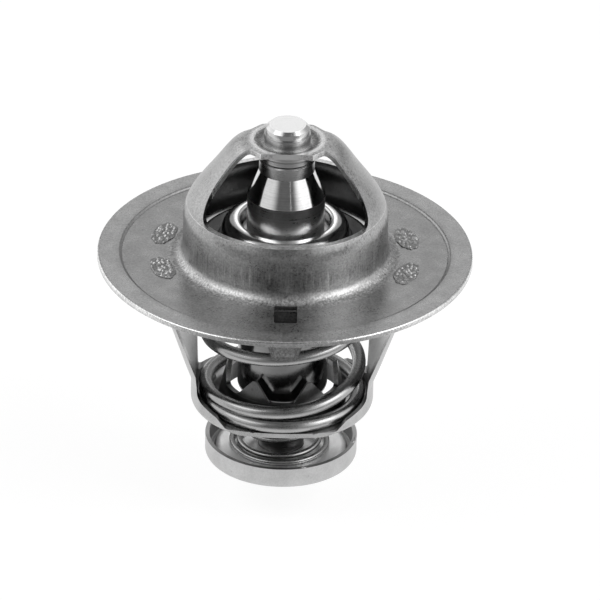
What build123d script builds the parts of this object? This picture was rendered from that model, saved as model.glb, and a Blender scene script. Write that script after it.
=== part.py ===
from build123d import *
import math
import os

# An engine coolant thermostat, in millimetres.
# The origin is the centre of the flange's seating face, the flat underside of its rim.
# +Z runs up the piston, and the viewer's side is -Y.

# Flange and bridge, one pressed sheet
FLANGE_R = 27.0
FLANGE_SHEET = 0.8
RIM_ROUND = 0.3
RIM_WIDTH = 3.2
RIM_STEP_RUN = 0.35
RIM_STEP_DEPTH = 0.3
DOME_FOOT_FILLET = 1.8
DOME_R = 14.7
DOME_WALL_TOP_Z = 6.8
DOME_HIP_INSET = 0.9
DOME_HIP_Z = 9.8
DOME_FLANK_INSET = 4.25
DOME_FLANK_Z = 14.6
DOME_SHOULDER_INSET = 6.7
DOME_SHOULDER_Z = 17.8
COLLAR_EDGE_R = 6.4
COLLAR_EDGE_Z = 18.85
COLLAR_R = 5.1
COLLAR_TOP_Z = 19.1
DISH_DEPTH = 0.4

# Water windows, front and back
SILL_Z = 8.85
SILL_CORNER_ROUND = 1.6
COLLAR_EDGE_Y = 4.7
COLLAR_EDGE_HALF_X = 3.7
LOBE_X = 5.35
LOBE_Y = 2.95
LOBE_ROUND = 0.8
LEG_BEND_X = 11.0
LEG_BEND_Y = 4.6
LEG_BEND_ROUND = 3.5
LEG_FOOT_X = 12.3
LEG_FOOT_Y = 8.2

# Vent slot and the scoop pressed down below it
SLOT_X = 0.3
SLOT_WIDTH = 3.3
SLOT_INNER_Y = 15.6
SLOT_LENGTH = 5.1
SLOT_CORNER = 0.35
SCOOP_TOP_WIDTH = 6.8
SCOOP_TIP_WIDTH = 3.4
SCOOP_DROP = 5.4
SCOOP_SHEET = 0.45
SCOOP_ROUND = 0.9

# Spot weld marks
WELD_GAP = 0.05
WELD_FOOT_EDGE = 1.6
WELD_ANGLE = 16.6
WELD_LENGTH = 6.4
WELD_WIDTH = 3.3
WELD_PROUD = 0.12

# Piston and the bush that is staked in the bridge
PISTON_R = 1.9
PISTON_LENGTH = 13.4
PISTON_HEAD_R = 3.1
PISTON_HEAD_HEIGHT = 1.3
PISTON_HEAD_CHAMFER = 0.45
PISTON_TIP_CHAMFER = 0.3
BUSH_R = 3.35
BUSH_NECK_HEIGHT = 1.55
BUSH_SHOULDER_R = 4.0
BUSH_SHOULDER_HEIGHT = 1.4
BUSH_GROOVE_DEPTH = 0.2
BUSH_GROOVE_WIDTH = 0.24

# Wax capsule: guide, cup, seals and wax
GUIDE_GAP = 0.3
GUIDE_TOP_R = 4.0
GUIDE_TOP_CHAMFER = 0.2
GUIDE_DRUM_HEIGHT = 1.85
GUIDE_CONE_TOP_R = 3.9
GUIDE_CONE_HEIGHT = 4.0
GUIDE_R = 5.585
GUIDE_FLANGE_HEIGHT = 2.4
GUIDE_BOTTOM_Z = 1.6
RUNNING_FIT = 0.03
CUP_R = 6.5
CUP_WALL = 0.7
CUP_BOTTOM_Z = -21.6
CUP_CORNER = 1.5
CUP_CRIMP_SHEET = 0.7
CUP_CRIMP_ROUND = 0.5
DIAPHRAGM_SHEET = 1.2
DIAPHRAGM_BOSS_R = 2.9
DIAPHRAGM_BOSS_HEIGHT = 2.6
WASHER_HEIGHT = 0.5
WASHER_GAP = 0.05

# Main valve, one pressed sheet
VALVE_SHEET = 0.8
VALVE_TOP_Z = 6.3
VALVE_NECK_DROP = 4.2
VALVE_NECK_ROUND = 0.5
VALVE_SHOULDER_R = 8.8
VALVE_SHOULDER_ROUND = 2.0
VALVE_SEAT_INNER_R = 9.7
VALVE_SEAT_OUTER_R = 12.3
VALVE_SEAT_Z = 2.7
VALVE_SEAT_ROUND = 0.5
VALVE_RIM_ROUND = 1.0
VALVE_RIM_INSET = 0.75
VALVE_RIM_Z = 0.9

# Main spring: its coils pass the front at these heights, measured at the wire's centre
SPRING_WIRE = 1.95
SPRING_MEAN_R = 11.05
SPRING_COIL_TWO_Z = -19.5
SPRING_COIL_THREE_Z = -10.8
SPRING_COIL_FOUR_Z = -3.4
SPRING_CLOSED_PITCH = 2.25

# Lower frame, one pressed sheet
FRAME_SHEET = 0.7
FRAME_SPRING_GAP = 0.475
FRAME_BASE_Z = -22.8
FRAME_CORNER = 1.0
FRAME_HIP_Z = -19.4
FRAME_HIP_ROUND = 2.0
FRAME_WAIST_R = 14.3
FRAME_WAIST_Z = -16.4
FRAME_WAIST_ROUND = 6.0
FRAME_FOOT_LENGTH = 3.5
FRAME_FOOT_BEND = 0.9
BASE_EDGE_Y = 11.5
BASE_EDGE_ROUND = 36.0
WALL_END_X = 8.0
WALL_TOP_X = 9.4
WALL_END_HEIGHT = 1.9
WALL_END_ROUND = 0.7
ARM_HALF_WIDTH = 7.0
ARM_ROOT_HALF_WIDTH = 5.0
ARM_ROOT_Z = -20.9
ARM_ROOT_ROUND = 1.0
STAR_PETALS = 6
STAR_ROOT_R = 8.75
STAR_TIP_R = 7.2
STAR_TIP_Z = -17.1
STAR_BEND = 0.6
STAR_VALLEY_Z = -19.7
STAR_VALLEY_HALF_WIDTH = 1.7
STAR_VALLEY_ROUND = 1.2
STAR_TIP_WIDTH = 0.5
STAR_JOIN_R = 10.4

# Bypass side: stem, disc, spring and clip
STEM_R = 3.3
STEM_FLANGE_R = 5.0
STEM_FLANGE_HEIGHT = 0.8
STEM_END_INSET = 0.15
DISC_R = 11.0
DISC_SHEET = 0.6
DISC_BOTTOM_Z = -32.2
DISC_HEIGHT = 3.2
DISC_CORNER = 0.8
DISC_FLOOR_RISE = 1.0
DISC_FLOOR_R = 9.0
DISC_STEP_RUN = 0.2
DISC_STEP_ROUND = 0.65
STEM_FIT = 0.05
CLIP_SHEET = 0.5
CLIP_R = 5.2
CLIP_GROOVE = 0.5
CLIP_GAP = 0.02
CLIP_MOUTH = 4.0
BYPASS_WIRE = 0.8
BYPASS_COIL_ONE_R = 6.9
BYPASS_COIL_TWO_R = 5.8
BYPASS_TOP_R = 4.3
BYPASS_COIL_TWO_RISE = 0.45
BYPASS_TURNS = 4

# How far a cutter stands clear of what it must leave
CUT_CLEARANCE = 0.05

# Heights and radii that follow from the sizes above
rim_step_r = FLANGE_R - RIM_WIDTH
weld_r = DOME_R + DOME_FOOT_FILLET + WELD_GAP + WELD_WIDTH / 2
frame_top_r = weld_r + WELD_FOOT_EDGE
frame_r = SPRING_MEAN_R + SPRING_WIRE / 2 + FRAME_SPRING_GAP + FRAME_SHEET
inner_top_z = FLANGE_SHEET - RIM_STEP_DEPTH
inner_under_z = inner_top_z - FLANGE_SHEET
dish_z = COLLAR_TOP_Z - DISH_DEPTH
bush_top_z = dish_z + BUSH_NECK_HEIGHT
bush_shoulder_top_z = dish_z - FLANGE_SHEET
bush_bottom_z = bush_shoulder_top_z - BUSH_SHOULDER_HEIGHT
guide_top_z = bush_bottom_z - GUIDE_GAP
guide_cone_top_z = guide_top_z - GUIDE_DRUM_HEIGHT
guide_cone_bottom_z = guide_cone_top_z - GUIDE_CONE_HEIGHT
guide_flange_top_z = GUIDE_BOTTOM_Z + GUIDE_FLANGE_HEIGHT
guide_bore_r = PISTON_R + RUNNING_FIT
boss_top_z = GUIDE_BOTTOM_Z + DIAPHRAGM_BOSS_HEIGHT
piston_bottom_z = bush_top_z - PISTON_LENGTH
washer_top_z = piston_bottom_z - WASHER_GAP
plug_top_z = washer_top_z - WASHER_HEIGHT
diaphragm_bottom_z = GUIDE_BOTTOM_Z - DIAPHRAGM_SHEET
cup_inner_r = CUP_R - CUP_WALL
cup_floor_z = CUP_BOTTOM_Z + CUP_WALL
cup_top_z = guide_flange_top_z + CUP_CRIMP_SHEET
valve_under_z = VALVE_SEAT_Z - VALVE_SHEET
frame_under_z = FRAME_BASE_Z - FRAME_SHEET
stem_flange_bottom_z = CUP_BOTTOM_Z - STEM_FLANGE_HEIGHT
stem_bottom_z = DISC_BOTTOM_Z + STEM_END_INSET
disc_under_z = DISC_BOTTOM_Z + DISC_FLOOR_RISE
disc_floor_z = disc_under_z + DISC_SHEET
clip_top_z = disc_under_z - CLIP_GAP


def turned(*outline):
    """A solid turned about Z from a closed outline of (radius, height) points."""
    face = Plane.XZ * make_face(Polyline(*outline, close=True))
    return revolve(face, Axis.Z)


def spun(*curves):
    """A solid turned about Z from curves that run end to end in (radius, height)."""
    edges = [edge for curve in curves for edge in curve.edges()]
    return revolve(Plane.XZ * make_face(Wire(edges)), Axis.Z)


def pressed(path, thickness, side):
    """A pressed sheet turned about Z: the path is one face, and the sheet lies to its side."""
    section = Wire(path.edges()).offset_2d(thickness, side=side, closed=True)
    return revolve(Plane.XZ * make_face(section.edges()), Axis.Z)


def ring_edge(shape, radius, height):
    """The circular edge that lies nearest to a radius and a height."""
    rings = shape.edges().filter_by(GeomType.CIRCLE)
    return min(rings, key=lambda e: abs(e.radius - radius) + abs(e.arc_center.Z - height))


def beside(curve, distance, samples):
    """A smooth curve that keeps a distance to the left of another one."""
    points = []
    for i in range(samples + 1):
        way = curve % (i / samples)
        points.append(curve @ (i / samples) + Vector(-way.Y, way.X) * distance)
    return Spline(*points, tangents=[curve % 0, curve % 1])


def follow(turn, turns, values):
    """The value at a turn, on straight runs between the listed ones."""
    for a, b, low, high in zip(turns, turns[1:], values, values[1:]):
        if turn <= b:
            share = max(0.0, (turn - a) / (b - a))
            return low + (high - low) * share
    return values[-1]


def coil(turns, heights, radii, wire, steps):
    """A round wire wound up Z. Turn 0 is at the front, and height and radius follow the turns."""
    count = round((turns[-1] - turns[0]) * steps)
    points = []
    for i in range(count + 1):
        turn = turns[0] + i / steps
        angle = math.radians(360 * turn - 90)
        r = follow(turn, turns, radii)
        points.append((r * math.cos(angle), r * math.sin(angle), follow(turn, turns, heights)))
    path = Spline(*points)
    section = Plane(origin=path @ 0, z_dir=path % 0) * Circle(wire / 2)
    return sweep(section, path=path, is_frenet=True)


def flange_face(depth):
    """The flange with its step and the dome's foot, at a depth below the sheet's top face."""
    step_shift = depth * math.tan(math.atan2(RIM_STEP_DEPTH, RIM_STEP_RUN) / 2)
    return FilletPolyline(
        (FLANGE_R - 2 * RIM_ROUND, FLANGE_SHEET - depth),
        (rim_step_r + step_shift, FLANGE_SHEET - depth),
        (rim_step_r + step_shift - RIM_STEP_RUN, inner_top_z - depth),
        (DOME_R - depth, inner_top_z - depth),
        (DOME_R - depth, DOME_WALL_TOP_Z),
        radius=[RIM_STEP_DEPTH, RIM_STEP_DEPTH, DOME_FOOT_FILLET + depth],
    )


def dome_sheet():
    """The flange, its step, the dome and the dished collar, before anything is pierced."""
    crown = Spline(
        (DOME_R, DOME_WALL_TOP_Z),
        (DOME_R - DOME_HIP_INSET, DOME_HIP_Z),
        (DOME_R - DOME_FLANK_INSET, DOME_FLANK_Z),
        (DOME_R - DOME_SHOULDER_INSET, DOME_SHOULDER_Z),
        (COLLAR_EDGE_R, COLLAR_EDGE_Z),
        (COLLAR_R, COLLAR_TOP_Z),
        (BUSH_R, dish_z),
        tangents=[(0, 1), (-1, -0.2)],
    )
    inside = beside(crown, FLANGE_SHEET, 12)
    rim = FilletPolyline(
        (FLANGE_R, 0), (FLANGE_R, FLANGE_SHEET), (FLANGE_R - 2 * RIM_ROUND, FLANGE_SHEET), radius=RIM_ROUND
    )
    seat = Line((FLANGE_R - 2 * RIM_ROUND, 0), (FLANGE_R, 0))
    lip = Line(crown @ 1, inside @ 1)
    return spun(seat, rim, flange_face(0), crown, lip, inside, flange_face(FLANGE_SHEET))


def window_cutter():
    """The front window, punched downwards: a straight collar edge, two lobes and two leg sides."""
    corner = (COLLAR_EDGE_HALF_X, -COLLAR_EDGE_Y)
    lobe = (LOBE_X, -LOBE_Y)
    bend = (LEG_BEND_X, -LEG_BEND_Y)
    leg_slope = (LEG_FOOT_X - LEG_BEND_X) / (LEG_FOOT_Y - LEG_BEND_Y)
    outer = (LEG_BEND_X + leg_slope * (FLANGE_R - LEG_BEND_Y), -FLANGE_R)
    half = make_face(Polyline((0, -COLLAR_EDGE_Y), corner, lobe, bend, outer, (0, -FLANGE_R), close=True))
    half = fillet(half.vertices().sort_by_distance(bend)[0], LEG_BEND_ROUND)
    low = Pos(0, 0, SILL_Z) * extrude(half, 2 * SILL_CORNER_ROUND)
    leg_side = [e for e in low.edges().group_by(Axis.Z)[0] if e.center().X > LOBE_X and e.center().Y > 1 - FLANGE_R]
    low = fillet(leg_side, SILL_CORNER_ROUND)
    half = fillet(half.vertices().sort_by_distance(lobe)[0], LOBE_ROUND)
    high = Pos(0, 0, SILL_Z + SILL_CORNER_ROUND) * extrude(half, COLLAR_TOP_Z)
    both = low + high
    return both + both.mirror(Plane.YZ)


def scoop_block(width_less, sheet):
    """The wedge below the slot: its floor runs down and outwards from the slot's inner end."""
    top = SCOOP_TOP_WIDTH / 2 - width_less
    tip = SCOOP_TIP_WIDTH / 2 - width_less
    face = make_face(Polyline((-top, 0), (top, 0), (tip, sheet - SCOOP_DROP), (-tip, sheet - SCOOP_DROP), close=True))
    corners = [v for v in face.vertices() if v.Y < 0]
    face = fillet(corners, SCOOP_ROUND - sheet)
    mouth_y = -SLOT_INNER_Y - SLOT_LENGTH
    slope = math.atan2(SCOOP_DROP, SLOT_LENGTH)
    inner_y = -SLOT_INNER_Y - sheet / math.sin(slope)
    reach = mouth_y - sheet
    side = make_face(
        Polyline((inner_y, 0), (reach, 0), (reach, (reach - inner_y) * math.tan(slope)), close=True)
    )
    ramp = extrude(Plane.YZ * side, SCOOP_TOP_WIDTH, both=True)
    return Pos(SLOT_X, 0, inner_under_z) * (ramp & extrude(Plane.XZ * face, -2 * reach))


def vent_scoop():
    """The scoop below the vent slot, open to the outside."""
    mouth = Pos(0, -SLOT_INNER_Y - SLOT_LENGTH - FLANGE_R / 2, 0) * Box(FLANGE_R, FLANGE_R, FLANGE_R)
    return scoop_block(0, 0) - scoop_block(SCOOP_SHEET, SCOOP_SHEET) - mouth


def bridge_flange():
    """The whole upper sheet: flange, dome, windows, vent slot and scoop."""
    window = window_cutter()
    slot = RectangleRounded(SLOT_WIDTH, SLOT_LENGTH, SLOT_CORNER)
    slot = Pos(SLOT_X, -SLOT_INNER_Y - SLOT_LENGTH / 2, inner_under_z) * extrude(slot, 2 * FLANGE_SHEET)
    return dome_sheet() - window - Rot(0, 0, 180) * window + vent_scoop() - slot


def spot_welds():
    """The four oval weld marks on the flange, two over each foot of the lower frame."""
    mark = extrude(Ellipse(WELD_WIDTH / 2, WELD_LENGTH / 2), WELD_PROUD)
    marks = []
    for side in (0, 180):
        for angle in (-WELD_ANGLE, WELD_ANGLE):
            marks.append(Rot(0, 0, side + angle) * Pos(weld_r, 0, inner_top_z) * mark)
    return Compound(marks)


def piston():
    """The headed piston: its rod runs down through the bush into the guide."""
    top_z = bush_top_z + PISTON_HEAD_HEIGHT
    return turned(
        (0, piston_bottom_z),
        (PISTON_R - PISTON_TIP_CHAMFER, piston_bottom_z),
        (PISTON_R, piston_bottom_z + PISTON_TIP_CHAMFER),
        (PISTON_R, bush_top_z),
        (PISTON_HEAD_R, bush_top_z),
        (PISTON_HEAD_R, top_z - PISTON_HEAD_CHAMFER),
        (PISTON_HEAD_R - PISTON_HEAD_CHAMFER, top_z),
        (0, top_z),
    )


def piston_bush():
    """The bush in the bridge's hole, with a grooved shoulder under the collar."""
    groove_z = (bush_shoulder_top_z + bush_bottom_z) / 2
    groove_half = BUSH_GROOVE_WIDTH / 2
    return turned(
        (PISTON_R, bush_bottom_z),
        (BUSH_SHOULDER_R, bush_bottom_z),
        (BUSH_SHOULDER_R, groove_z - groove_half),
        (BUSH_SHOULDER_R - BUSH_GROOVE_DEPTH, groove_z),
        (BUSH_SHOULDER_R, groove_z + groove_half),
        (BUSH_SHOULDER_R, bush_shoulder_top_z),
        (BUSH_R, bush_shoulder_top_z),
        (BUSH_R, bush_top_z),
        (PISTON_R, bush_top_z),
    )


def capsule_guide():
    """The guide: a drum, a polished cone and a cylinder, with a flange held in the cup."""
    return turned(
        (guide_bore_r, guide_top_z),
        (GUIDE_TOP_R - GUIDE_TOP_CHAMFER, guide_top_z),
        (GUIDE_TOP_R, guide_top_z - GUIDE_TOP_CHAMFER),
        (GUIDE_TOP_R, guide_cone_top_z),
        (GUIDE_CONE_TOP_R, guide_cone_top_z),
        (GUIDE_R, guide_cone_bottom_z),
        (GUIDE_R, guide_flange_top_z),
        (cup_inner_r, guide_flange_top_z),
        (cup_inner_r, GUIDE_BOTTOM_Z),
        (DIAPHRAGM_BOSS_R, GUIDE_BOTTOM_Z),
        (guide_bore_r, boss_top_z),
    )


def anti_extrusion_washer():
    """The hard washer between the piston's end and the rubber plug."""
    return turned((0, plug_top_z), (guide_bore_r, plug_top_z), (guide_bore_r, washer_top_z), (0, washer_top_z))


def rubber_plug():
    """The rubber plug that carries the diaphragm's push to the piston."""
    return turned((0, boss_top_z), (guide_bore_r, boss_top_z), (guide_bore_r, plug_top_z), (0, plug_top_z))


def diaphragm():
    """The rubber diaphragm that seals the wax, with its boss in the guide's mouth."""
    return turned(
        (0, diaphragm_bottom_z),
        (cup_inner_r, diaphragm_bottom_z),
        (cup_inner_r, GUIDE_BOTTOM_Z),
        (DIAPHRAGM_BOSS_R, GUIDE_BOTTOM_Z),
        (guide_bore_r, boss_top_z),
        (0, boss_top_z),
    )


def wax_charge():
    """The wax that fills the cup below the diaphragm."""
    wax = turned(
        (0, cup_floor_z), (cup_inner_r, cup_floor_z), (cup_inner_r, diaphragm_bottom_z), (0, diaphragm_bottom_z)
    )
    return fillet(ring_edge(wax, cup_inner_r, cup_floor_z), CUP_CORNER - CUP_WALL)


def wax_cup():
    """The drawn cup, its rim crimped over the guide's flange."""
    cup = turned(
        (0, CUP_BOTTOM_Z),
        (CUP_R, CUP_BOTTOM_Z),
        (CUP_R, cup_top_z),
        (GUIDE_R, cup_top_z),
        (GUIDE_R, guide_flange_top_z),
        (cup_inner_r, guide_flange_top_z),
        (cup_inner_r, cup_floor_z),
        (0, cup_floor_z),
    )
    cup = fillet(ring_edge(cup, CUP_R, CUP_BOTTOM_Z), CUP_CORNER)
    cup = fillet(ring_edge(cup, CUP_R, cup_top_z), CUP_CRIMP_ROUND)
    return fillet(ring_edge(cup, cup_inner_r, cup_floor_z), CUP_CORNER - CUP_WALL)


def main_valve():
    """The valve plate: a neck on the cup, a rounded shoulder, a spring seat and a sloping rim."""
    face = FilletPolyline(
        (CUP_R, VALVE_TOP_Z - VALVE_NECK_DROP),
        (CUP_R, VALVE_TOP_Z),
        (VALVE_SHOULDER_R, VALVE_TOP_Z),
        (VALVE_SEAT_INNER_R, VALVE_SEAT_Z),
        (VALVE_SEAT_OUTER_R, VALVE_SEAT_Z),
        (DOME_R - VALVE_RIM_INSET, VALVE_RIM_Z),
        radius=[VALVE_NECK_ROUND, VALVE_SHOULDER_ROUND, VALVE_SEAT_ROUND, VALVE_RIM_ROUND],
    )
    return pressed(face, VALVE_SHEET, Side.RIGHT)


def main_spring():
    """The main spring, closed and ground flat at both ends, from the frame's base to the valve."""
    rise = SPRING_COIL_THREE_Z - SPRING_COIL_TWO_Z
    first_z = SPRING_COIL_TWO_Z - SPRING_CLOSED_PITCH
    last_z = valve_under_z - SPRING_WIRE / 2
    steps = {
        -0.5: first_z - SPRING_CLOSED_PITCH / 2,
        0: first_z,
        1: SPRING_COIL_TWO_Z,
        1.25: SPRING_COIL_TWO_Z + 0.27 * rise,
        1.5: SPRING_COIL_TWO_Z + 0.58 * rise,
        1.75: SPRING_COIL_TWO_Z + 0.84 * rise,
        2: SPRING_COIL_THREE_Z,
        2.5: (2 * SPRING_COIL_THREE_Z + SPRING_COIL_FOUR_Z) / 3,
        3: SPRING_COIL_FOUR_Z,
        3.3: last_z - SPRING_CLOSED_PITCH,
        4.3: last_z,
        4.5: last_z + SPRING_CLOSED_PITCH / 5,
    }
    turns = list(steps)
    wound = coil(turns, list(steps.values()), [SPRING_MEAN_R] * len(turns), SPRING_WIRE, 12)
    room = Cylinder(2 * SPRING_MEAN_R, valve_under_z - FRAME_BASE_Z)
    return wound & Pos(0, 0, (valve_under_z + FRAME_BASE_Z) / 2) * room


def frame_shell():
    """The lower frame's base, upturned wall, flared arms and turned-in feet, still a full bowl."""
    face = FilletPolyline(
        (STAR_JOIN_R, frame_under_z),
        (frame_r, frame_under_z),
        (frame_r, FRAME_HIP_Z),
        (FRAME_WAIST_R, FRAME_WAIST_Z),
        (frame_top_r, inner_under_z),
        (frame_top_r - FRAME_FOOT_LENGTH, inner_under_z),
        radius=[FRAME_CORNER, FRAME_HIP_ROUND, FRAME_WAIST_ROUND, FRAME_FOOT_BEND],
    )
    return pressed(face, FRAME_SHEET, Side.LEFT)


def arm_edge_x(radius, half_width):
    """How far out the edge of an arm lies where the bowl has this radius."""
    return math.sqrt(radius**2 - half_width**2)


def frame_gap():
    """The big opening between the arms, cut through from the front to the back."""
    wall_top = (WALL_TOP_X, frame_under_z + WALL_END_HEIGHT)
    right = [
        (WALL_END_X, FRAME_BASE_Z + CUT_CLEARANCE),
        wall_top,
        (arm_edge_x(frame_r, ARM_ROOT_HALF_WIDTH), ARM_ROOT_Z),
        (arm_edge_x(FRAME_WAIST_R, ARM_HALF_WIDTH), FRAME_WAIST_Z),
        (arm_edge_x(frame_top_r, ARM_HALF_WIDTH), inner_under_z),
        (arm_edge_x(frame_top_r, ARM_HALF_WIDTH), FLANGE_SHEET),
    ]
    left = [(-x, z) for x, z in reversed(right)]
    face = make_face(Polyline(*right, *left, close=True))
    face = fillet([v for v in face.vertices() if abs(v.Y - wall_top[1]) < CUT_CLEARANCE], WALL_END_ROUND)
    roots = [v for v in face.vertices() if abs(v.Y - ARM_ROOT_Z) < CUT_CLEARANCE]
    face = fillet(roots, ARM_ROOT_ROUND)
    return extrude(Plane.XZ * face, 2 * frame_r, both=True)


def star_guide():
    """The crown of upturned petals that guides the capsule."""
    face = FilletPolyline(
        (STAR_JOIN_R, frame_under_z), (STAR_ROOT_R, frame_under_z), (STAR_TIP_R, STAR_TIP_Z), radius=STAR_BEND
    )
    crown = pressed(face, FRAME_SHEET, Side.RIGHT)
    half_pitch = (STAR_TIP_R + FRAME_SHEET / 2) * math.sin(math.pi / STAR_PETALS)
    open_half = half_pitch - STAR_TIP_WIDTH / 2
    slope = (open_half - STAR_VALLEY_HALF_WIDTH) / (STAR_TIP_Z - STAR_VALLEY_Z)
    notch = make_face(
        Polyline(
            (-STAR_VALLEY_HALF_WIDTH, STAR_VALLEY_Z),
            (STAR_VALLEY_HALF_WIDTH, STAR_VALLEY_Z),
            (open_half + slope, STAR_TIP_Z + 1),
            (-open_half - slope, STAR_TIP_Z + 1),
            close=True,
        )
    )
    bottom = [v for v in notch.vertices() if abs(v.Y - STAR_VALLEY_Z) < 0.01]
    notch = extrude(Plane.XZ * fillet(bottom, STAR_VALLEY_ROUND), frame_r)
    for i in range(STAR_PETALS):
        crown = crown - Rot(0, 0, i * 360 / STAR_PETALS) * notch
    return crown


def lower_frame():
    """The whole lower frame."""
    bowl = frame_shell() - frame_gap()
    edge = Pos(0, BASE_EDGE_ROUND - BASE_EDGE_Y) * Circle(BASE_EDGE_ROUND)
    edge = edge & edge.mirror(Plane.XZ)
    bowl = bowl & Pos(0, 0, frame_under_z) * extrude(edge, -2 * frame_under_z)
    return bowl + star_guide()


def bypass_stem():
    """The stem below the cup, with a flange for the spring and a groove for the clip."""
    groove_r = STEM_R - CLIP_GROOVE
    return turned(
        (0, CUP_BOTTOM_Z),
        (STEM_FLANGE_R, CUP_BOTTOM_Z),
        (STEM_FLANGE_R, stem_flange_bottom_z),
        (STEM_R, stem_flange_bottom_z),
        (STEM_R, clip_top_z),
        (groove_r, clip_top_z),
        (groove_r, clip_top_z - CLIP_SHEET),
        (STEM_R, clip_top_z - CLIP_SHEET),
        (STEM_R, stem_bottom_z),
        (0, stem_bottom_z),
    )


def stem_clip():
    """The open clip in the stem's groove, which keeps the disc on."""
    ring = Circle(CLIP_R) - Circle(STEM_R - CLIP_GROOVE)
    mouth = Pos(0, CLIP_R) * Rectangle(CLIP_MOUTH, 2 * CLIP_R)
    return Pos(0, 0, clip_top_z - CLIP_SHEET) * extrude(ring - mouth, CLIP_SHEET)


def bypass_disc():
    """The bypass disc: a shallow cup with a raised floor that slides on the stem."""
    face = FilletPolyline(
        (STEM_R + STEM_FIT, disc_under_z),
        (DISC_FLOOR_R, disc_under_z),
        (DISC_FLOOR_R + DISC_STEP_RUN, DISC_BOTTOM_Z),
        (DISC_R, DISC_BOTTOM_Z),
        (DISC_R, DISC_BOTTOM_Z + DISC_HEIGHT),
        radius=[DISC_STEP_ROUND / 2, DISC_STEP_ROUND, DISC_CORNER],
    )
    return pressed(face, DISC_SHEET, Side.LEFT)


def bypass_spring():
    """The conical spring from the disc's floor up to the stem's flange."""
    floor_z = disc_floor_z + BYPASS_WIRE / 2
    top_z = stem_flange_bottom_z - BYPASS_WIRE / 2
    turns = [-0.4, 0, 1]
    heights = [floor_z, floor_z, floor_z + BYPASS_COIL_TWO_RISE]
    radii = [BYPASS_COIL_ONE_R + 0.3, BYPASS_COIL_ONE_R, BYPASS_COIL_TWO_R]
    for i in range(2, BYPASS_TURNS + 1):
        share = (i - 1) / (BYPASS_TURNS - 1)
        turns.append(i)
        heights.append(heights[2] + (top_z - heights[2]) * share)
        radii.append(BYPASS_TOP_R + (BYPASS_COIL_TWO_R - BYPASS_TOP_R) * (1 - share) ** 2)
    turns.append(BYPASS_TURNS + 0.4)
    heights.append(top_z)
    radii.append(BYPASS_TOP_R)
    return coil(turns, heights, radii, BYPASS_WIRE, 12)


pieces = {
    "bridge_flange": bridge_flange(),
    "spot_welds": spot_welds(),
    "piston": piston(),
    "piston_bush": piston_bush(),
    "capsule_guide": capsule_guide(),
    "anti_extrusion_washer": anti_extrusion_washer(),
    "rubber_plug": rubber_plug(),
    "diaphragm": diaphragm(),
    "wax_charge": wax_charge(),
    "wax_cup": wax_cup(),
    "main_valve": main_valve(),
    "main_spring": main_spring(),
    "lower_frame": lower_frame(),
    "bypass_stem": bypass_stem(),
    "stem_clip": stem_clip(),
    "bypass_disc": bypass_disc(),
    "bypass_spring": bypass_spring(),
}

os.makedirs("parts", exist_ok=True)
for name, shape in pieces.items():
    export_step(shape, f"parts/{name}.step")
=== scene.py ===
"""Studio scene of an engine coolant thermostat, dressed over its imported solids."""

from __future__ import annotations

import logging
import math
from dataclasses import dataclass, field
from enum import Enum

import bmesh
import bpy
from mathutils import Matrix, Vector, noise


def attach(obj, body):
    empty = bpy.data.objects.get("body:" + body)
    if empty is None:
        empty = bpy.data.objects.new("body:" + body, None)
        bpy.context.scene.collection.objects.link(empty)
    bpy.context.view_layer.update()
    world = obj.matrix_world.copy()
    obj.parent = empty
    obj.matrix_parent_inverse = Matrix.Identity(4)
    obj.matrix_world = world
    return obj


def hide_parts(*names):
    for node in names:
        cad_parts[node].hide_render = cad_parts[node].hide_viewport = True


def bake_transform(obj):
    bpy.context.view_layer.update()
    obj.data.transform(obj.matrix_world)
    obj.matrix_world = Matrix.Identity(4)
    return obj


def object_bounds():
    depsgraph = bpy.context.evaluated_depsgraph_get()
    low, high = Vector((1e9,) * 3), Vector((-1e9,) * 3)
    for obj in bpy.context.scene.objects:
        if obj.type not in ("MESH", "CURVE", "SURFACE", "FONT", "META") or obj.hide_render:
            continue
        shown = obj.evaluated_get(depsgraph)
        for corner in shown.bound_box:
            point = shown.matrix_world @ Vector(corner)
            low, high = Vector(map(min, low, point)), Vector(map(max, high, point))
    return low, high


MM = 0.001
PER_METRE = 1.0 / MM
UP = (0.0, 0.0, 1.0)
# Limits outside the part, for a mark that is open at that end
PAST_AXIS_MM = -1.0
PAST_RIM_MM = 28.0
PAST_TOP_MM = 30.0
PAST_SCOOP_MM = -9.0
# The range that holds nearly all of a noise's values
NOISE_RANGE = (0.38, 0.62)
NOISE_ROUGHNESS = 0.65
# How many finer layers a noise has that only draws lines
LINES = 2.0
# The cosines between a face and a direction where a mark starts and where it is full
INWARDS = (-0.1, -0.3)
OUTWARDS = (0.88, 0.94)
UPRIGHT = (0.2, 0.1)
SHEARED = (0.45, 0.65)
# The least roughness that a surface may reach
SMOOTHEST = 0.03
LOG = logging.getLogger("thermostat")

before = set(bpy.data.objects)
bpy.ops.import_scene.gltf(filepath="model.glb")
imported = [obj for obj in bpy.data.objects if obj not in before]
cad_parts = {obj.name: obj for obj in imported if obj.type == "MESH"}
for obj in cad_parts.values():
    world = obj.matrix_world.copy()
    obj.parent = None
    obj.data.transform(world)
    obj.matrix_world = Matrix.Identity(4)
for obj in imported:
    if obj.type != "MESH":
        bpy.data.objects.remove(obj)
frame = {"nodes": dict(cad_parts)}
CAD_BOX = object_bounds()

Tree = bpy.types.NodeTree
Socket = bpy.types.NodeSocket


def linear(code: str) -> tuple[float, float, float, float]:
    """Turn an sRGB hex colour into linear light.

    Args:
        code: The colour as six hex digits after a hash.

    Returns:
        Red, green, blue and a full alpha.
    """
    values = [int(code[i : i + 2], 16) / 255 for i in (1, 3, 5)]
    return tuple(v / 12.92 if v <= 0.04045 else ((v + 0.055) / 1.055) ** 2.4 for v in values) + (1.0,)


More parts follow.
